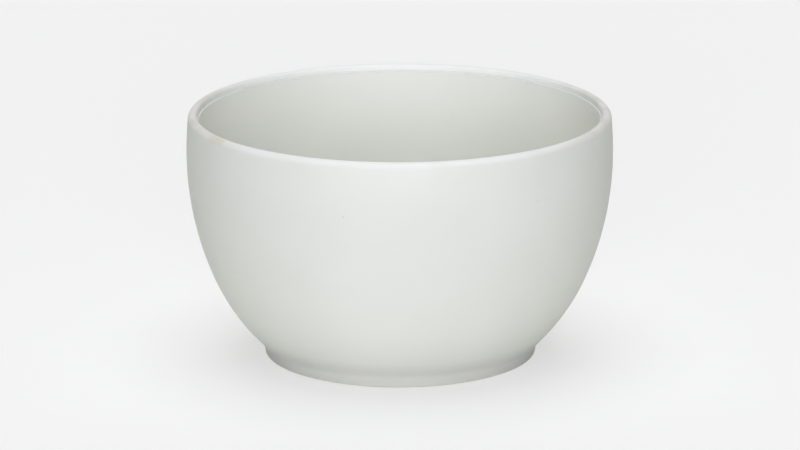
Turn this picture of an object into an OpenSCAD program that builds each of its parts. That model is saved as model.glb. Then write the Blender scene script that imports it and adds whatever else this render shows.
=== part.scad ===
// Latte bowl in glazed porcelain: a round wall with a soft lip, standing on a low foot ring.
// The origin is on the axis, on the surface that the bowl stands on, with +Z up.
// Sizes are in millimetres and degrees, and are those of the finished, glazed bowl.

/* [Overall] */
// Largest outside diameter, at the widest ring
bowl_d = 125; // [112:1:150]
// Height from the standing edge to the crest of the lip
bowl_h = 72.6; // [58:0.2:86]
// Height from the widest ring up to the crest of the lip
widest_h = 12.2; // [6:0.2:24.6]

/* [Wall] */
// Radius of the shoulder, the curve from the widest ring up to the lip
shoulder_r = 115; // [60:1:300]
// Angle through which the wall has turned inwards where the belly runs into the hip
belly_turn = 23.5; // [18:0.5:28]
// Angle through which the wall has turned inwards where the hip meets the foot
hip_turn = 47.1; // [42:0.1:56]
// Angle down to which the wall keeps its thickness, before the inside rounds into the floor
heel_turn = 30; // [28:1:38]
// Thickness of the wall, glaze included
wall_t = 3.4; // [2.9:0.1:4.5]

/* [Lip] */
// Radius of the lip's outer edge
lip_r = 1.8; // [1.2:0.1:2.2]
// Radius of the lip's inner edge
lip_inner_r = 1; // [0.5:0.05:1.05]
// Depth of the fine step inside the lip, below the crest
lip_step_h = 1.9; // [1.5:0.1:3]
// Radius of the hollow between the lip's inner side and the step
lip_hollow_r = 0.15; // [0.1:0.05:0.3]
// Radius of the step's edge, which rounds into the wall
lip_step_r = 0.35; // [0.32:0.01:0.5]

/* [Floor] */
// Height of the middle of the inside's floor above the standing edge
floor_h = 7.4; // [6.5:0.1:12]
// Radius of the floor's shallow dish
dish_r = 400; // [200:10:900]

/* [Foot ring] */
// Outside diameter of the foot, where its side would meet the standing surface
foot_d = 79.6; // [66:0.2:92]
// Height at which the side of the foot would meet the wall
foot_h = 3.5; // [3.2:0.1:6.5]
// Lean of the foot's outer side
foot_lean = 10; // [2:1:20]
// Radius of the hollow between the foot and the wall
crease_r = 4; // [1.5:0.5:5.5]
// Width of the flat that the bowl stands on
standing_w = 2.2; // [1.2:0.1:5]
// Radius of the two edges of that flat
standing_edge_r = 0.8; // [0.6:0.1:1.2]
// Depth of the recess under the floor
recess_h = 3.7; // [2.8:0.1:4.6]
// Lean of the foot's inner side
recess_lean = 18; // [5:1:25]
// Radius of the recess's corner
recess_r = 1.2; // [0.6:0.1:1.6]

/* [Glaze] */
// Thickness of the glaze
glaze_t = 0.25; // [0.15:0.05:0.3]
// Angle by which the glaze runs round the edges of the foot before it is wiped off
wipe_turn = 16; // [4:1:20]

/* [Hidden] */
$fn = 180;
// Curves are drawn as chords that stay this close to the true arc
chord_error = 0.004;

function unit(angle) = [cos(angle), sin(angle)];
function angle_of(v) = atan2(v.y, v.x);
function reversed(list) = [for (i = [len(list) - 1 : -1 : 0]) list[i]];

// Points of an arc after its start, which the stretch before it ends on
function arc(center, radius, from, to) =
    let (n = max(1, ceil(abs(to - from) / (2 * acos(1 - chord_error / radius)))))
    [for (i = [1 : n]) center + radius * unit(from + (to - from) * i / n)];

// Shoulder and lip: angles are those of the outward normal above the horizontal
bowl_r = bowl_d / 2;
widest_z = bowl_h - widest_h;
shoulder_c = [bowl_r - shoulder_r, widest_z];
lip_turn = asin((widest_h - lip_r) / (shoulder_r - lip_r));
lip_c = shoulder_c + (shoulder_r - lip_r) * unit(lip_turn);
crest_r = lip_c.x;

// Belly and hip: the two arcs leave the widest ring upright and reach the crease at hip_turn
crease = [foot_d / 2 + foot_h * tan(foot_lean), foot_h];
drop = crease - [bowl_r, widest_z];
belly_chord = unit(-belly_turn) - unit(0);
hip_chord = unit(-hip_turn) - unit(-belly_turn);
belly_r = cross(drop, hip_chord) / cross(belly_chord, hip_chord);
hip_r = cross(belly_chord, drop) / cross(belly_chord, hip_chord);
belly_c = [bowl_r - belly_r, widest_z];
hip_c = belly_c + (belly_r - hip_r) * unit(-belly_turn);

// Crease: a hollow arc that touches the hip's arc and the side of the foot
foot_side = unit(90 - foot_lean);
crease_line = crease + crease_r * unit(-foot_lean) - hip_c;
crease_along = crease_line * foot_side;
crease_c = hip_c + crease_line
    - (crease_along + sqrt(crease_along ^ 2 + (hip_r + crease_r) ^ 2 - crease_line * crease_line)) * foot_side;
hip_end = angle_of(crease_c - hip_c);

// Step inside the lip: its edge touches the wall, and the lip's inner side runs straight into its hollow,
// upright at most
inner_shoulder_r = shoulder_r - wall_t;
step_z = bowl_h - lip_step_h;
step_rise = step_z - lip_step_r - widest_z;
step_c = shoulder_c + [sqrt((inner_shoulder_r + lip_step_r) ^ 2 - step_rise ^ 2), step_rise];
step_turn = angle_of(step_c - shoulder_c);
hollow_c = [step_c.x, step_z + lip_hollow_r];
inner_lip_r = min(lip_inner_r, crest_r - hollow_c.x - lip_hollow_r);
inner_lip_c = [crest_r, bowl_h - inner_lip_r];
side_gap = inner_lip_c - hollow_c;
side_turn = angle_of(side_gap) + acos(-(inner_lip_r + lip_hollow_r) / norm(side_gap));

// Heel and floor: the heel's arc touches the inside of the wall and the floor's dish
dish_c = [0, floor_h + dish_r];
heel_start = hip_c + (hip_r - wall_t) * unit(-heel_turn);
heel_rise = heel_start - dish_c;
heel_r = (dish_r ^ 2 - heel_rise * heel_rise) / (2 * (dish_r - heel_rise * unit(-heel_turn)));
heel_c = heel_start - heel_r * unit(-heel_turn);
heel_end = angle_of(heel_c - dish_c);

// Foot ring: the standing flat lies between two rounded edges, which the glaze only just reaches
glazed_edge_r = standing_edge_r + glaze_t;
outer_edge_c = [
    foot_d / 2 + standing_edge_r * tan(foot_lean) - glazed_edge_r / cos(foot_lean),
    standing_edge_r
];
inner_edge_c = [outer_edge_c.x - standing_w, standing_edge_r];
recess_corner_z = recess_h - recess_r;
recess_side_r = inner_edge_c.x - glazed_edge_r / cos(recess_lean)
    - (recess_corner_z - standing_edge_r) * tan(recess_lean);
recess_c = [recess_side_r - recess_r / cos(recess_lean), recess_corner_z];
// The body sits on the ring's flat top, just below the recess's rounded corner
seat_z = recess_corner_z;

// Each path follows a finished surface, or lies at the given depth below it
function outer_path(depth, stop) = concat(
    [[crest_r, bowl_h - depth]],
    arc(lip_c, lip_r - depth, 90, lip_turn),
    arc(shoulder_c, shoulder_r - depth, lip_turn, 0),
    arc(belly_c, belly_r - depth, 0, -belly_turn),
    arc(hip_c, hip_r - depth, -belly_turn, hip_end),
    arc(crease_c, crease_r + depth, 180 + hip_end, 180 - foot_lean),
    [outer_edge_c + (glazed_edge_r - depth) * unit(-foot_lean)],
    arc(outer_edge_c, glazed_edge_r - depth, -foot_lean, stop)
);

function recess_path(depth, start) = concat(
    [inner_edge_c + (glazed_edge_r - depth) * unit(start)],
    arc(inner_edge_c, glazed_edge_r - depth, start, 180 + recess_lean),
    [recess_c + (recess_r + depth) * unit(recess_lean)],
    arc(recess_c, recess_r + depth, recess_lean, 90),
    [[0, recess_h + depth]]
);

function inner_path(depth) = concat(
    [[crest_r, bowl_h - depth]],
    arc(inner_lip_c, inner_lip_r - depth, 90, side_turn),
    [hollow_c - (lip_hollow_r + depth) * unit(side_turn)],
    arc(hollow_c, lip_hollow_r + depth, side_turn - 180, -90),
    arc(step_c, lip_step_r - depth, 90, 180 + step_turn),
    arc(shoulder_c, inner_shoulder_r + depth, step_turn, 0),
    arc(belly_c, belly_r - wall_t + depth, 0, -belly_turn),
    arc(hip_c, hip_r - wall_t + depth, -belly_turn, -heel_turn),
    arc(heel_c, heel_r + depth, -heel_turn, heel_end),
    arc(dish_c, dish_r + depth, heel_end, -90)
);

// Half section of the clay alone, body and foot ring together
module clay_section() {
    outside = outer_path(glaze_t, -90);
    underside = recess_path(glaze_t, 270);
    inside = reversed(inner_path(glaze_t));
    // The inside ends on the crest, where the outside starts
    polygon(concat(outside, underside, [for (i = [0 : len(inside) - 2]) inside[i]]));
}

// Skin of glaze between a path on the finished surface and the same path on the clay
module coat(finished, clay) {
    rotate_extrude() polygon(concat(finished, reversed(clay)));
}

module porcelain_body() {
    color("whitesmoke") rotate_extrude() intersection() {
        clay_section();
        translate([0, seat_z]) square([bowl_d, bowl_h]);
    }
}

module foot_ring() {
    color("linen") rotate_extrude() intersection() {
        clay_section();
        square([bowl_d, seat_z]);
    }
}

module outer_glaze() {
    stop = -foot_lean - wipe_turn;
    color("#e6e9e6") coat(outer_path(0, stop), outer_path(glaze_t, stop));
}

module inner_glaze() {
    color("#dadfd8") coat(inner_path(0), inner_path(glaze_t));
}

module base_glaze() {
    start = 180 + recess_lean + wipe_turn;
    color("#dde1dc") coat(recess_path(0, start), recess_path(glaze_t, start));
}

porcelain_body();
foot_ring();
outer_glaze();
inner_glaze();
base_glaze();
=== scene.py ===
"""Latte bowl in satin white porcelain. The clay body is the CAD solid; the bare foot ring and the three
coats of glaze over the clay are turned from their half sections."""
import math

import bpy
from mathutils import Matrix


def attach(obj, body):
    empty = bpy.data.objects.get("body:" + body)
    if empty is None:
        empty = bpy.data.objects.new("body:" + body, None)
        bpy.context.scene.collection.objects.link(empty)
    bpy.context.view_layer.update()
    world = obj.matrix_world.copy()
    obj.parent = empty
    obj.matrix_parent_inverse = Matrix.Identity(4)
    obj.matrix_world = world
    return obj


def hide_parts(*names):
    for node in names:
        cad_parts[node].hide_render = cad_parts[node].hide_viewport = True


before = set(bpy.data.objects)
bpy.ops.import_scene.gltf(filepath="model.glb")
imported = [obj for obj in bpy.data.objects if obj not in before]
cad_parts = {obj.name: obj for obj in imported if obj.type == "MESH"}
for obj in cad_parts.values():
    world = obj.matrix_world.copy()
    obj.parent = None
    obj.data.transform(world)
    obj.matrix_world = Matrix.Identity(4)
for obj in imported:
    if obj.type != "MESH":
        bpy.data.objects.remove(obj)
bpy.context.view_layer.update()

MM = 0.001

# Sizes of the finished, glazed bowl in millimetres and degrees, as in the part's source
BOWL_D = 125
BOWL_H = 72.6
WIDEST_H = 12.2
SHOULDER_R = 115
BELLY_TURN = 23.5
HIP_TURN = 47.1
HEEL_TURN = 30
WALL_T = 3.4
LIP_R = 1.8
LIP_INNER_R = 1
LIP_STEP_H = 1.9
LIP_HOLLOW_R = 0.15
LIP_STEP_R = 0.35
FLOOR_H = 7.4
DISH_R = 400
FOOT_D = 79.6
FOOT_H = 3.5
FOOT_LEAN = 10
CREASE_R = 4
STANDING_W = 2.2
STANDING_EDGE_R = 0.8
RECESS_H = 3.7
RECESS_LEAN = 18
RECESS_R = 1.2
GLAZE_T = 0.25
WIPE_TURN = 16

# How finely the half sections are drawn, turned and welded, and the bend from which an edge stays sharp
CHORD_ERROR = 0.004
LARGEST_STEP = 4
STEPS_ROUND = 256
WELD_DISTANCE = 0.001
SHARP_BEND = 30

# Glaze: plain; lighter on the lip as a painted highlight; on the upper inside; then darker tones that are
# painted shade: low inside the bowl and in the underside's recess corner, above the crease, on the foot and in
# the step under the lip; and darker and warmer at the lip's left and right ends, also painted shade
GLAZE = "#eceeeb"
LIP_HIGHLIGHT_GLAZE = "#f2f3f1"
UPPER_GLAZE = "#eaeae5"
SHADED_GLAZE = "#e4e6e0"
CREASE_SHADE_GLAZE = "#e5e6e3"
FOOT_SHADE_GLAZE = "#dedfd9"
STEP_SHADE_GLAZE = "#e0e1dc"
LIP_END_SHADE_GLAZE = "#dcd9d0"
# Heights at which each coat has these colours, from the foot upwards; the darker and lighter stops are painted
# shade and highlight
# Outside: painted shade darkens the glaze from the hip down over the crease to the foot, and a painted
# highlight lightens the lip
OUTER_SHADE_BY_HEIGHT = [(1.2, FOOT_SHADE_GLAZE), (5.8, CREASE_SHADE_GLAZE), (8.8, GLAZE), (70.7, GLAZE), (72, LIP_HIGHLIGHT_GLAZE)]
# Inside: painted shade darkens the glaze towards the bottom and in the step under the lip, and a painted
# highlight lightens the lip
INNER_SHADE_BY_HEIGHT = [(7.4, SHADED_GLAZE), (44, SHADED_GLAZE), (70.2, UPPER_GLAZE),
             (70.6, STEP_SHADE_GLAZE), (70.8, STEP_SHADE_GLAZE), (71.1, LIP_HIGHLIGHT_GLAZE)]
# Underside: painted shade darkens the recess corner
BASE_SHADE_BY_HEIGHT = [(1.8, GLAZE), (2.9, SHADED_GLAZE), (3.7, GLAZE)]
# Clouds of thicker glaze
CLOUD_SIZE = 34
CLOUD_SHARE = 0.22
CLOUD_TINT = "#eef0ed"
# Painted shade at the lip's ends: how far the crest band reaches below the crest, where the shade starts and
# is full to each side, and how much shows in its patches
CREST_BAND_H = 2.2
LIP_END_SHADE_FROM = 40
LIP_END_SHADE_TO = 60
PATCH_SIZE = 7
PATCH_SHARES = (0.5, 0.95)
# Cream mark on the lip: its middle and reach, and the size and lowest share of its flecks
MARK_AT = (-52.5, -32.1, 72)
MARK_R = 5.5
MARK_FLECK = 1.3
MARK_LEAST = 0.3
MARK_COLOUR = "#dfd8c7"
# Iron specks, and what sets each coat's pattern of them apart
SPECK_SPACING = 11
SPECK_R = 0.28
SPECK_SHARE = 0.42
SPECK_COLOUR = "#7d776b"
OUTER_SPECKS = 3
INNER_SPECKS = 21
BASE_SPECKS = 5
# The part of a mark's or speck's radius that has its full colour
FULL_SHARE = 0.4
# Sheen and skin of the glaze
SATIN = (0.48, 0.58)
SHEEN_SIZE = 7
PEEL_SIZE = 1.6
PEEL_DEPTH = 0.004
WAVE_SIZE = 16
WAVE_DEPTH = 0.03
# Bare porcelain: its two tones, the grey rub, and the matt surface with its grit
BARE_DARK = "#dcd6c8"
BARE_LIGHT = "#e6e1d6"
BLUSH_SIZE = 9
RUB_COLOUR = "#b9b3a7"
RUB_SHARE = 0.35
MATT = 0.72
GRIT_SIZE = 0.35
GRIT_DEPTH = 0.02
CERAMIC_IOR = 1.5

# Paper: the tone that the eye sees behind and under the bowl, and the slightly warm one that lights the bowl
PAPER = "#f2f2f2"
FLOOR_PAPER = "#e6e6d9"
# The floor as the eye sees it: how much of the light and shadow on it is kept, and how much of the paper's
# tone is added. Its reach is in metres.
SHADOW_SHARE = 0.4
FLOOR_LIFT = 0.655
FLOOR_REACH = 6
# Even light from all round
FILL = 0.005
# Softboxes: azimuth, elevation and width in degrees, level and colour
NEUTRAL = (1, 1, 1.012)
COOL = (1, 1, 1.07)
FRONT_SOFTBOX = (-1.2, 2.5, 36, 0.965, COOL)
OVERHEAD_SOFTBOX = (0, 90, 50, 0.56, NEUTRAL)
REAR_SOFTBOX = (180, 35, 50, 0.2, NEUTRAL)
# Round lamp over the mouth: its height above the lip, its diameter and its watts
MOUTH_LAMP_H = 2
MOUTH_LAMP_D = 90
MOUTH_LAMP_W = 0.0102

# The photograph's view: a long lens, a little above the lip. The reach is in metres.
PHOTO_W = 800
FOCAL_PIXELS = 4943.1
SENSOR_W = 36
CAMERA_DISTANCE = 1455.4
CAMERA_ELEVATION = 15.17
CAMERA_ROLL = -0.16
CAMERA_AIM_H = 38.02
CAMERA_REACH = 100


def linear(hex_colour):
    """Turns an sRGB hex value into the linear RGBA that Blender's sockets take."""
    channels = [int(hex_colour[i:i + 2], 16) / 255 for i in (1, 3, 5)]
    return [c / 12.92 if c <= 0.04045 else ((c + 0.055) / 1.055) ** 2.4 for c in channels] + [1]


def add_node(tree, kind, settings=None, **inputs):
    """Adds a node. Settings are its own properties. An input is named by its socket, with _ for a space, or
    by _ and its number, and is a value or an output to link."""
    node = tree.nodes.new(kind)
    for name, value in (settings or {}).items():
        setattr(node, name, value)
    for name, value in inputs.items():
        socket = node.inputs[int(name[1:])] if name[1:].isdigit() else node.inputs[name.replace("_", " ")]
        for item in value if isinstance(value, list) and socket.is_multi_input else [value]:
            if isinstance(item, bpy.types.NodeSocket):
                tree.links.new(item, socket)
            else:
                socket.default_value = item
    return node


def put_in_scene(name, data):
    """A new object with that data, at the origin."""
    thing = bpy.data.objects.new(name, data)
    bpy.context.scene.collection.objects.link(thing)
    return thing


# Half sections: points are (distance from the axis, height), and angles are those of the surface's normal


def unit(angle):
    return (math.cos(math.radians(angle)), math.sin(math.radians(angle)))


def along(point, angle, distance):
    """The point that lies a distance from another in the direction of an angle."""
    return (point[0] + distance * unit(angle)[0], point[1] + distance * unit(angle)[1])


def less(a, b):
    return (a[0] - b[0], a[1] - b[1])


def dot(a, b):
    return a[0] * b[0] + a[1] * b[1]


def cross(a, b):
    return a[0] * b[1] - a[1] * b[0]


def angle_of(v):
    return math.degrees(math.atan2(v[1], v[0]))


def tangent(angle):
    return math.tan(math.radians(angle))


# Shoulder and lip
bowl_r = BOWL_D / 2
widest_z = BOWL_H - WIDEST_H
shoulder_c = (bowl_r - SHOULDER_R, widest_z)
lip_turn = math.degrees(math.asin((WIDEST_H - LIP_R) / (SHOULDER_R - LIP_R)))
lip_c = along(shoulder_c, lip_turn, SHOULDER_R - LIP_R)
crest_r = lip_c[0]

# Belly and hip: the two arcs leave the widest ring upright and reach the crease at the hip's turn
crease = (FOOT_D / 2 + FOOT_H * tangent(FOOT_LEAN), FOOT_H)
drop = less(crease, (bowl_r, widest_z))
belly_chord = less(unit(-BELLY_TURN), unit(0))
hip_chord = less(unit(-HIP_TURN), unit(-BELLY_TURN))
belly_r = cross(drop, hip_chord) / cross(belly_chord, hip_chord)
hip_r = cross(belly_chord, drop) / cross(belly_chord, hip_chord)
belly_c = (bowl_r - belly_r, widest_z)
hip_c = along(belly_c, -BELLY_TURN, belly_r - hip_r)

# Crease: a hollow arc that touches the hip's arc and the side of the foot
foot_side = unit(90 - FOOT_LEAN)
crease_start = along(crease, -FOOT_LEAN, CREASE_R)
crease_line = less(crease_start, hip_c)
crease_along = dot(crease_line, foot_side)
crease_down = crease_along + math.sqrt(
    crease_along ** 2 + (hip_r + CREASE_R) ** 2 - dot(crease_line, crease_line))
crease_c = along(crease_start, 90 - FOOT_LEAN, -crease_down)
hip_end = angle_of(less(crease_c, hip_c))

# Step inside the lip: its edge touches the wall, and the lip's inner side runs straight into its hollow,
# upright at most
inner_shoulder_r = SHOULDER_R - WALL_T
step_z = BOWL_H - LIP_STEP_H
step_rise = step_z - LIP_STEP_R - widest_z
step_c = (
    shoulder_c[0] + math.sqrt((inner_shoulder_r + LIP_STEP_R) ** 2 - step_rise ** 2),
    step_z - LIP_STEP_R,
)
step_turn = angle_of(less(step_c, shoulder_c))
hollow_c = (step_c[0], step_z + LIP_HOLLOW_R)
inner_lip_r = min(LIP_INNER_R, crest_r - hollow_c[0] - LIP_HOLLOW_R)
inner_lip_c = (crest_r, BOWL_H - inner_lip_r)
side_gap = less(inner_lip_c, hollow_c)
side_turn = angle_of(side_gap) + math.degrees(
    math.acos(-(inner_lip_r + LIP_HOLLOW_R) / math.hypot(*side_gap)))

# Heel and floor: the heel's arc touches the inside of the wall and the floor's dish
dish_c = (0, FLOOR_H + DISH_R)
heel_start = along(hip_c, -HEEL_TURN, hip_r - WALL_T)
heel_rise = less(heel_start, dish_c)
heel_r = (DISH_R ** 2 - dot(heel_rise, heel_rise)) / (2 * (DISH_R - dot(heel_rise, unit(-HEEL_TURN))))
heel_c = along(heel_start, -HEEL_TURN, -heel_r)
heel_end = angle_of(less(heel_c, dish_c))

# Foot ring: the standing flat lies between two rounded edges, which the glaze only just reaches
glazed_edge_r = STANDING_EDGE_R + GLAZE_T
outer_edge_c = (
    FOOT_D / 2 + STANDING_EDGE_R * tangent(FOOT_LEAN) - glazed_edge_r / unit(FOOT_LEAN)[0],
    STANDING_EDGE_R,
)
inner_edge_c = (outer_edge_c[0] - STANDING_W, STANDING_EDGE_R)
seat_z = RECESS_H - RECESS_R
recess_side_r = (inner_edge_c[0] - glazed_edge_r / unit(RECESS_LEAN)[0]
                 - (seat_z - STANDING_EDGE_R) * tangent(RECESS_LEAN))
recess_c = (recess_side_r - RECESS_R / unit(RECESS_LEAN)[0], seat_z)
outer_wipe = -FOOT_LEAN - WIPE_TURN
base_wipe = 180 + RECESS_LEAN + WIPE_TURN
# The body sits on the ring's flat top, which meets the crease's arc at this angle
seat_turn = 180 - math.degrees(math.asin((seat_z - crease_c[1]) / (CREASE_R + GLAZE_T)))

# A stretch of a half section is (name, centre, radius, from, to) for an arc or (name, start, end) for a
# straight run. Each list follows the finished surface, or lies at a depth below it.


def outside(depth, wipe):
    """From the crest of the lip down the outside to the foot's standing edge."""
    edge_r = glazed_edge_r - depth
    return [
        ("Lip", lip_c, LIP_R - depth, 90, lip_turn),
        ("Shoulder", shoulder_c, SHOULDER_R - depth, lip_turn, 0),
        ("Belly", belly_c, belly_r - depth, 0, -BELLY_TURN),
        ("Hip", hip_c, hip_r - depth, -BELLY_TURN, hip_end),
        ("Crease", crease_c, CREASE_R + depth, 180 + hip_end, 180 - FOOT_LEAN),
        ("Foot side", along(crease_c, 180 - FOOT_LEAN, CREASE_R + depth),
         along(outer_edge_c, -FOOT_LEAN, edge_r)),
        ("Standing edge", outer_edge_c, edge_r, -FOOT_LEAN, wipe),
    ]


def recess(depth, wipe):
    """From the foot's inner standing edge up its inner side to the middle of the underside."""
    edge_r = glazed_edge_r - depth
    corner_r = RECESS_R + depth
    return [
        ("Inner standing edge", inner_edge_c, edge_r, wipe, 180 + RECESS_LEAN),
        ("Recess side", along(inner_edge_c, 180 + RECESS_LEAN, edge_r),
         along(recess_c, RECESS_LEAN, corner_r)),
        ("Recess corner", recess_c, corner_r, RECESS_LEAN, 90),
        ("Underside", along(recess_c, 90, corner_r), (0, RECESS_H + depth)),
    ]


def inside(depth):
    """From the crest of the lip down the inside to the middle of the floor."""
    return [
        ("Inner lip", inner_lip_c, inner_lip_r - depth, 90, side_turn),
        ("Lip side", along(inner_lip_c, side_turn, inner_lip_r - depth),
         along(hollow_c, side_turn - 180, LIP_HOLLOW_R + depth)),
        ("Lip hollow", hollow_c, LIP_HOLLOW_R + depth, side_turn - 180, -90),
        ("Step edge", step_c, LIP_STEP_R - depth, 90, 180 + step_turn),
        ("Inner shoulder", shoulder_c, inner_shoulder_r + depth, step_turn, 0),
        ("Inner belly", belly_c, belly_r - WALL_T + depth, 0, -BELLY_TURN),
        ("Inner hip", hip_c, hip_r - WALL_T + depth, -BELLY_TURN, -HEEL_TURN),
        ("Heel", heel_c, heel_r + depth, -HEEL_TURN, heel_end),
        ("Dish", dish_c, DISH_R + depth, heel_end, -90),
    ]


def back_along(stretches):
    """The same stretches walked the other way, for a coat's second side."""
    return [("Clay " + s[0].lower(), *s[1:-2], s[-1], s[-2]) for s in reversed(stretches)]


def turned_piece(name, stretches, material):
    """Turns a closed half section about the bowl's axis into a mesh, through a Geometry Nodes tree with named
    sizes."""
    tree = bpy.data.node_groups.new(name, "GeometryNodeTree")
    sizes = tree.nodes.new("NodeGroupInput")
    values = {}

    def size(label, value, kind="NodeSocketFloat"):
        socket = tree.interface.new_socket(label, in_out="INPUT", socket_type=kind)
        values[socket.identifier] = value
        return sizes.outputs[socket.identifier]

    # The section is swept round a circle: its distances are counted from that circle, its heights downwards
    ring_r = bowl_r
    ring = add_node(tree, "GeometryNodeCurvePrimitiveCircle",
                    Resolution=size("Steps round", STEPS_ROUND, "NodeSocketInt"),
                    Radius=size("Ring radius", ring_r * MM))
    upright = add_node(tree, "GeometryNodeSetCurveNormal", {"mode": "Z_UP"}, Curve=ring.outputs["Curve"])

    def place(label, point):
        return size(label, ((point[0] - ring_r) * MM, -point[1] * MM, 0), "NodeSocketVector")

    curves = []
    for label, *shape in stretches:
        if len(shape) == 2:
            run = add_node(tree, "GeometryNodeCurvePrimitiveLine",
                           Start=place(label + " start", shape[0]), End=place(label + " end", shape[1]))
            curves.append(run.outputs["Curve"])
            continue
        center, radius, start, end = shape
        step = min(LARGEST_STEP, 2 * math.degrees(math.acos(1 - CHORD_ERROR / radius)))
        bend = add_node(tree, "GeometryNodeCurveArc", Resolution=math.ceil(abs(end - start) / step) + 1,
                        Radius=size(label + " radius", radius * MM),
                        Start_Angle=size(label + " from", math.radians(-start)),
                        Sweep_Angle=size(label + " turn", math.radians(start - end)))
        moved = add_node(tree, "GeometryNodeTransform", Geometry=bend.outputs["Curve"],
                         Translation=place(label + " centre", center))
        curves.append(moved.outputs["Geometry"])
    section = add_node(tree, "GeometryNodeJoinGeometry", Geometry=curves)
    swept = add_node(tree, "GeometryNodeCurveToMesh", Curve=upright.outputs["Curve"],
                     Profile_Curve=section.outputs["Geometry"])
    welded = add_node(tree, "GeometryNodeMergeByDistance", Geometry=swept.outputs["Mesh"],
                      Distance=size("Weld distance", WELD_DISTANCE * MM))
    rounded = add_node(tree, "GeometryNodeSetShadeSmooth",
                       Geometry=welded.outputs["Geometry"], Shade_Smooth=True)
    bent = add_node(tree, "GeometryNodeInputMeshEdgeAngle")
    corner = add_node(tree, "FunctionNodeCompare", {"operation": "GREATER_THAN"},
                      A=bent.outputs["Unsigned Angle"], B=size("Corner angle", math.radians(SHARP_BEND)))
    creased = add_node(tree, "GeometryNodeSetShadeSmooth", {"domain": "EDGE"},
                       Geometry=rounded.outputs["Geometry"],
                       Selection=corner.outputs["Result"], Shade_Smooth=False)
    real = add_node(tree, "GeometryNodeRealizeInstances", Geometry=creased.outputs["Geometry"])
    painted = add_node(tree, "GeometryNodeSetMaterial", Geometry=real.outputs["Geometry"], Material=material)
    tree.interface.new_socket("Mesh", in_out="OUTPUT", socket_type="NodeSocketGeometry")
    add_node(tree, "NodeGroupOutput", Mesh=painted.outputs["Geometry"])

    piece = put_in_scene(name, bpy.data.meshes.new(name))
    modifier = piece.modifiers.new("Turned section", "NODES")
    modifier.node_group = tree
    for identifier, value in values.items():
        modifier[identifier] = value
    evaluated = piece.evaluated_get(bpy.context.evaluated_depsgraph_get())
    mesh = bpy.data.meshes.new_from_object(evaluated)
    piece.modifiers.remove(modifier)
    mesh.name = name
    piece.data = mesh
    return piece


# Finishes. Patterns read Object coordinates, in metres, so a size in millimetres gives the scale


def per(size):
    """The scale at which a pattern repeats about once in that many millimetres."""
    return 1 / (size * MM)


def new_finish(name):
    """A plain material; returns it with its tree, its shader and the piece's own coordinates."""
    material = bpy.data.materials.new(name)
    material.use_nodes = True
    tree = material.node_tree
    coordinates = add_node(tree, "ShaderNodeTexCoord").outputs["Object"]
    return material, tree, tree.nodes["Principled BSDF"], coordinates


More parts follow.
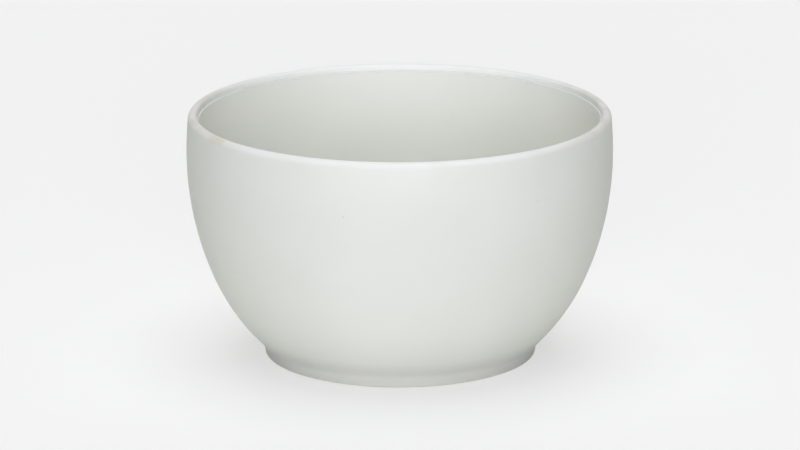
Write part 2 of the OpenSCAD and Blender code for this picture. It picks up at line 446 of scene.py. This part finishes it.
def satin_glaze(name, shade_by_height, speck_seed):
    """Satin feldspathic glaze, dipped and fired on porcelain: a soft sheen with no sharp reflections, faint
    orange peel and a few iron specks. Its colour also carries painted shade and highlight: darker grey-green
    towards the foot, low inside and in hollows, lighter on the lip's crest, and darker and warmer at the lip's
    left and right ends. The shade is given as (height in mm, colour) from the foot upwards."""
    material, tree, shader, coordinates = new_finish(name)
    place = add_node(tree, "ShaderNodeSeparateXYZ", Vector=coordinates)
    height = place.outputs["Z"]
    # Painted shade and highlight by height, from the foot to the lip
    share = add_node(tree, "ShaderNodeMath", {"operation": "DIVIDE"}, _0=height, _1=BOWL_H * MM)
    run = add_node(tree, "ShaderNodeValToRGB", Fac=share.outputs[0])
    stops = run.color_ramp.elements
    for index, (level, colour) in enumerate(shade_by_height):
        # A new ramp has two stops
        stop = stops[index] if index < 2 else stops.new(1)
        stop.position = level / BOWL_H
        stop.color = linear(colour)

    # Broad, slow changes of thickness from the dip
    cloud = add_node(tree, "ShaderNodeTexNoise", Vector=coordinates,
                     Scale=per(CLOUD_SIZE), Detail=2, Roughness=0.5)
    cloudy = add_node(tree, "ShaderNodeMapRange", Value=cloud.outputs["Fac"],
                      From_Min=0.35, From_Max=0.65, To_Max=CLOUD_SHARE)
    tinted = add_node(tree, "ShaderNodeMix", {"data_type": "RGBA", "blend_type": "MULTIPLY"},
                      _0=cloudy.outputs[0], _6=run.outputs["Color"], _7=linear(CLOUD_TINT))

    # Painted shade: the lip is made darker and warmer at its left and right ends, in patches, where its crest
    # is in shade
    soft = {"interpolation_type": "SMOOTHSTEP"}
    crest = add_node(tree, "ShaderNodeMapRange", soft, Value=height,
                     From_Min=(BOWL_H - CREST_BAND_H) * MM, From_Max=BOWL_H * MM)
    sideways = add_node(tree, "ShaderNodeMath", {"operation": "ABSOLUTE"}, _0=place.outputs["X"])
    lip_ends = add_node(tree, "ShaderNodeMapRange", soft, Value=sideways.outputs[0],
                    From_Min=LIP_END_SHADE_FROM * MM, From_Max=LIP_END_SHADE_TO * MM)
    patches = add_node(tree, "ShaderNodeTexNoise", Vector=coordinates,
                       Scale=per(PATCH_SIZE), Detail=2, Roughness=0.5)
    patchy = add_node(tree, "ShaderNodeMapRange", soft, Value=patches.outputs["Fac"],
                      From_Min=0.35, From_Max=0.68, To_Min=PATCH_SHARES[0], To_Max=PATCH_SHARES[1])
    lip_end_shade = add_node(tree, "ShaderNodeMath", {"operation": "MULTIPLY"},
                    _0=crest.outputs[0], _1=lip_ends.outputs[0])
    lip_end_shade = add_node(tree, "ShaderNodeMath", {"operation": "MULTIPLY"},
                    _0=lip_end_shade.outputs[0], _1=patchy.outputs[0])
    lip_end_shaded = add_node(tree, "ShaderNodeMix", {"data_type": "RGBA"},
                      _0=lip_end_shade.outputs[0], _6=tinted.outputs[2], _7=linear(LIP_END_SHADE_GLAZE))

    # One cream mark on the lip's left front, mottled, where the glaze was knocked off and touched in by hand
    away = add_node(tree, "ShaderNodeVectorMath", {"operation": "DISTANCE"},
                    _0=coordinates, _1=[c * MM for c in MARK_AT])
    near = add_node(tree, "ShaderNodeMapRange", soft, Value=away.outputs["Value"],
                    From_Min=MARK_R * MM, From_Max=FULL_SHARE * MARK_R * MM)
    mottle = add_node(tree, "ShaderNodeTexNoise", Vector=coordinates,
                      Scale=per(MARK_FLECK), Detail=2, Roughness=0.6)
    mottled = add_node(tree, "ShaderNodeMapRange", soft, Value=mottle.outputs["Fac"],
                       From_Min=0.4, From_Max=0.6, To_Min=MARK_LEAST)
    mark = add_node(tree, "ShaderNodeMath", {"operation": "MULTIPLY"},
                    _0=near.outputs[0], _1=crest.outputs[0])
    mark = add_node(tree, "ShaderNodeMath", {"operation": "MULTIPLY"},
                    _0=mark.outputs[0], _1=mottled.outputs[0])
    marked = add_node(tree, "ShaderNodeMix", {"data_type": "RGBA"},
                      _0=mark.outputs[0], _6=lip_end_shaded.outputs[2], _7=linear(MARK_COLOUR))

    # Iron specks, about half a millimetre across: one wherever the surface passes the middle of a cell
    shifted = add_node(tree, "ShaderNodeVectorMath", Vector=coordinates, _1=(speck_seed, 0, 0))
    cells = add_node(tree, "ShaderNodeTexVoronoi", Vector=shifted.outputs[0], Scale=per(SPECK_SPACING))
    speck = add_node(tree, "ShaderNodeMapRange", soft, Value=cells.outputs["Distance"],
                     From_Min=SPECK_R / SPECK_SPACING, From_Max=FULL_SHARE * SPECK_R / SPECK_SPACING,
                     To_Max=SPECK_SHARE)
    specked = add_node(tree, "ShaderNodeMix", {"data_type": "RGBA"},
                       _0=speck.outputs[0], _6=marked.outputs[2], _7=linear(SPECK_COLOUR))
    tree.links.new(specked.outputs[2], shader.inputs["Base Color"])

    # The sheen is a little uneven, as the melt was
    sheen = add_node(tree, "ShaderNodeTexNoise", Vector=coordinates,
                     Scale=per(SHEEN_SIZE), Detail=3, Roughness=0.6)
    satin = add_node(tree, "ShaderNodeMapRange", Value=sheen.outputs["Fac"],
                     From_Min=0.3, From_Max=0.7, To_Min=SATIN[0], To_Max=SATIN[1])
    tree.links.new(satin.outputs[0], shader.inputs["Roughness"])
    shader.inputs["IOR"].default_value = CERAMIC_IOR

    # Orange peel of the fired melt over the long waves of the turned clay
    peel = add_node(tree, "ShaderNodeTexNoise", Vector=coordinates,
                    Scale=per(PEEL_SIZE), Detail=2, Roughness=0.55)
    waves = add_node(tree, "ShaderNodeTexNoise", Vector=coordinates,
                     Scale=per(WAVE_SIZE), Detail=1, Roughness=0.4)
    long_waves = add_node(tree, "ShaderNodeBump", Strength=1, Distance=WAVE_DEPTH * MM,
                          Height=waves.outputs["Fac"])
    skin = add_node(tree, "ShaderNodeBump", Strength=1, Distance=PEEL_DEPTH * MM,
                    Height=peel.outputs["Fac"], Normal=long_waves.outputs[0])
    tree.links.new(skin.outputs[0], shader.inputs["Normal"])
    return material


def bare_porcelain():
    """Fired porcelain without glaze, rubbed smooth after the kiln: matt, a little warmer than the glaze, with
    fine grit and a grey rub from standing."""
    material, tree, shader, coordinates = new_finish("bare_fired_porcelain")
    blush = add_node(tree, "ShaderNodeTexNoise", Vector=coordinates,
                     Scale=per(BLUSH_SIZE), Detail=3, Roughness=0.6)
    tone = add_node(tree, "ShaderNodeValToRGB", Fac=blush.outputs["Fac"])
    dark, light = tone.color_ramp.elements
    dark.position, light.position = 0.35, 0.68
    dark.color, light.color = linear(BARE_DARK), linear(BARE_LIGHT)
    grit = add_node(tree, "ShaderNodeTexNoise", Vector=coordinates,
                    Scale=per(GRIT_SIZE), Detail=2, Roughness=0.7)
    worn = add_node(tree, "ShaderNodeMapRange", Value=grit.outputs["Fac"],
                    From_Min=0.55, From_Max=0.75, To_Max=RUB_SHARE)
    rubbed = add_node(tree, "ShaderNodeMix", {"data_type": "RGBA"},
                      _0=worn.outputs[0], _6=tone.outputs["Color"], _7=linear(RUB_COLOUR))
    tree.links.new(rubbed.outputs[2], shader.inputs["Base Color"])
    shader.inputs["Roughness"].default_value = MATT
    shader.inputs["IOR"].default_value = CERAMIC_IOR
    rough = add_node(tree, "ShaderNodeBump", Strength=1, Distance=GRIT_DEPTH * MM,
                     Height=grit.outputs["Fac"])
    tree.links.new(rough.outputs[0], shader.inputs["Normal"])
    return material


outer_glaze_finish = satin_glaze("satin_glaze_outside", OUTER_SHADE_BY_HEIGHT, OUTER_SPECKS)
inner_glaze_finish = satin_glaze("satin_glaze_inside", INNER_SHADE_BY_HEIGHT, INNER_SPECKS)
base_glaze_finish = satin_glaze("satin_glaze_underside", BASE_SHADE_BY_HEIGHT, BASE_SPECKS)
bare_porcelain_finish = bare_porcelain()

# Coats: a finished side and the side on the clay, joined by a rounded wiped edge at the foot and, where the
# two large coats meet, by a seam on the crest of the lip
half_t = GLAZE_T / 2
outer_coat = turned_piece(
    "satin_outer_coat",
    outside(0, outer_wipe)
    + [("Wiped edge", along(outer_edge_c, outer_wipe, glazed_edge_r - half_t), half_t,
        outer_wipe, outer_wipe - 180)]
    + back_along(outside(GLAZE_T, outer_wipe))
    + [("Crest seam", (crest_r, BOWL_H - GLAZE_T), (crest_r, BOWL_H))],
    outer_glaze_finish)
inner_coat = turned_piece(
    "satin_inner_coat",
    back_along(inside(0))
    + [("Crest seam", (crest_r, BOWL_H), (crest_r, BOWL_H - GLAZE_T))]
    + inside(GLAZE_T),
    inner_glaze_finish)
base_coat = turned_piece(
    "satin_base_coat",
    recess(0, base_wipe)
    + back_along(recess(GLAZE_T, base_wipe))
    + [("Wiped edge", along(inner_edge_c, base_wipe, glazed_edge_r - half_t), half_t,
        base_wipe + 180, base_wipe)],
    base_glaze_finish)

# Bare ring: the clay of the foot from the body's seat down to the standing flat and up the recess
foot_top = along(crease_c, seat_turn, CREASE_R + GLAZE_T)
*_, outer_side, outer_edge = outside(GLAZE_T, -90)
inner_edge, inner_side, *_ = recess(GLAZE_T, 270)
inner_seat = (recess_side_r + GLAZE_T / unit(RECESS_LEAN)[0], seat_z)
bare_foot = turned_piece(
    "bare_foot_ring",
    [
        ("Crease", crease_c, CREASE_R + GLAZE_T, seat_turn, 180 - FOOT_LEAN),
        outer_side,
        outer_edge,
        ("Standing flat", along(outer_edge_c, -90, STANDING_EDGE_R),
         along(inner_edge_c, 270, STANDING_EDGE_R)),
        inner_edge,
        ("Recess side", inner_side[1], inner_seat),
        ("Seat", inner_seat, foot_top),
    ],
    bare_porcelain_finish)

for piece, node, slot in (
    (outer_coat, "outer_glaze", "outer_glaze"),
    (inner_coat, "inner_glaze", "inner_glaze"),
    (base_coat, "base_glaze", "base_glaze"),
    (bare_foot, "foot_ring", "bare_porcelain"),
):
    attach(piece, "root")
    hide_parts(node)

# The clay body lies wholly under the glaze and stays as its solid
clay_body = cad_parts["porcelain_body"]
clay_body.data.materials.clear()
clay_body.data.materials.append(bare_porcelain_finish)

# Stage: a pale paper floor that runs into a backdrop of the same tone


def seen_ray(tree):
    """1 for what the camera sees, straight or by gloss or glass, and 0 for light on its way to the bowl."""
    path = add_node(tree, "ShaderNodeLightPath")
    seen = add_node(tree, "ShaderNodeMath", {"operation": "MAXIMUM"},
                    _0=path.outputs["Is Camera Ray"], _1=path.outputs["Is Glossy Ray"])
    seen = add_node(tree, "ShaderNodeMath", {"operation": "MAXIMUM"},
                    _0=seen.outputs[0], _1=path.outputs["Is Transmission Ray"])
    return seen.outputs[0]


def paper_floor():
    """Matt paper. The eye sees it lifted to the backdrop's tone, with the bowl's shadow kept; the bowl is lit
    by slightly warm paper without that lift."""
    material = bpy.data.materials.new("matt_paper")
    material.use_nodes = True
    tree = material.node_tree
    tree.nodes.clear()
    seen = seen_ray(tree)
    paper = add_node(tree, "ShaderNodeBsdfDiffuse", Color=linear(FLOOR_PAPER))
    shaded = add_node(tree, "ShaderNodeBsdfDiffuse", Color=[SHADOW_SHARE] * 3 + [1])
    lift = add_node(tree, "ShaderNodeEmission", Color=linear(PAPER), Strength=FLOOR_LIFT)
    lifted = add_node(tree, "ShaderNodeAddShader", _0=shaded.outputs[0], _1=lift.outputs[0])
    either = add_node(tree, "ShaderNodeMixShader", _0=seen, _1=paper.outputs[0], _2=lifted.outputs[0])
    add_node(tree, "ShaderNodeOutputMaterial", Surface=either.outputs[0])
    return material


floor_mesh = bpy.data.meshes.new("floor")
floor_corners = [(x * FLOOR_REACH, y * FLOOR_REACH, 0) for x, y in ((-1, -1), (1, -1), (1, 1), (-1, 1))]
floor_mesh.from_pydata(floor_corners, [], [(0, 1, 2, 3)])
floor_mesh.materials.append(paper_floor())
floor = put_in_scene("floor", floor_mesh)

# Light
world = bpy.data.worlds.new("studio")
bpy.context.scene.world = world
world.use_nodes = True
sky = world.node_tree
sky.nodes.clear()
seen_sky = seen_ray(sky)
fill = add_node(sky, "ShaderNodeBackground", Color=(1, 1, 1, 1), Strength=FILL)
backdrop = add_node(sky, "ShaderNodeBackground", Color=linear(PAPER), Strength=1)
mixed = add_node(sky, "ShaderNodeMixShader", _0=seen_sky, _1=fill.outputs[0], _2=backdrop.outputs[0])
add_node(sky, "ShaderNodeOutputWorld", Surface=mixed.outputs[0])


def soft_sun(name, azimuth, elevation, width, level, colour):
    """A lamp as wide as a large softbox. Azimuth 0 is the camera's side, and 90 is its right. At a level of 1,
    a colour that faces it renders as it is written."""
    lamp = bpy.data.lights.new(name, "SUN")
    lamp.angle = math.radians(width)
    lamp.energy = level * math.pi
    lamp.color = colour
    light = put_in_scene(name, lamp)
    light.matrix_world = (Matrix.Rotation(math.radians(azimuth), 4, "Z")
                          @ Matrix.Rotation(math.radians(90 - elevation), 4, "X"))
    return light


soft_sun("front_softbox", *FRONT_SOFTBOX)
soft_sun("overhead_softbox", *OVERHEAD_SOFTBOX)
rear_light = soft_sun("rear_softbox", *REAR_SOFTBOX)
rear_light.visible_glossy = False

mouth_lamp = bpy.data.lights.new("mouth_lamp", "AREA")
mouth_lamp.shape = "DISK"
mouth_lamp.size = MOUTH_LAMP_D * MM
mouth_lamp.energy = MOUTH_LAMP_W
mouth_light = put_in_scene("mouth_lamp", mouth_lamp)
mouth_light.location = (0, 0, (BOWL_H + MOUTH_LAMP_H) * MM)
mouth_light.visible_camera = False

# Camera
camera_data = bpy.data.cameras.new("camera")
camera_data.sensor_width = SENSOR_W
camera_data.lens = FOCAL_PIXELS / PHOTO_W * SENSOR_W
camera_data.clip_end = CAMERA_REACH
camera = put_in_scene("camera", camera_data)
tilt = math.radians(CAMERA_ELEVATION)
camera_place = (
    0,
    -CAMERA_DISTANCE * math.cos(tilt) * MM,
    (CAMERA_AIM_H + CAMERA_DISTANCE * math.sin(tilt)) * MM,
)
camera.matrix_world = (Matrix.Translation(camera_place) @ Matrix.Rotation(math.pi / 2 - tilt, 4, "X")
                       @ Matrix.Rotation(math.radians(CAMERA_ROLL), 4, "Z"))
bpy.context.scene.camera = camera
bpy.context.scene.view_settings.view_transform = "Standard"
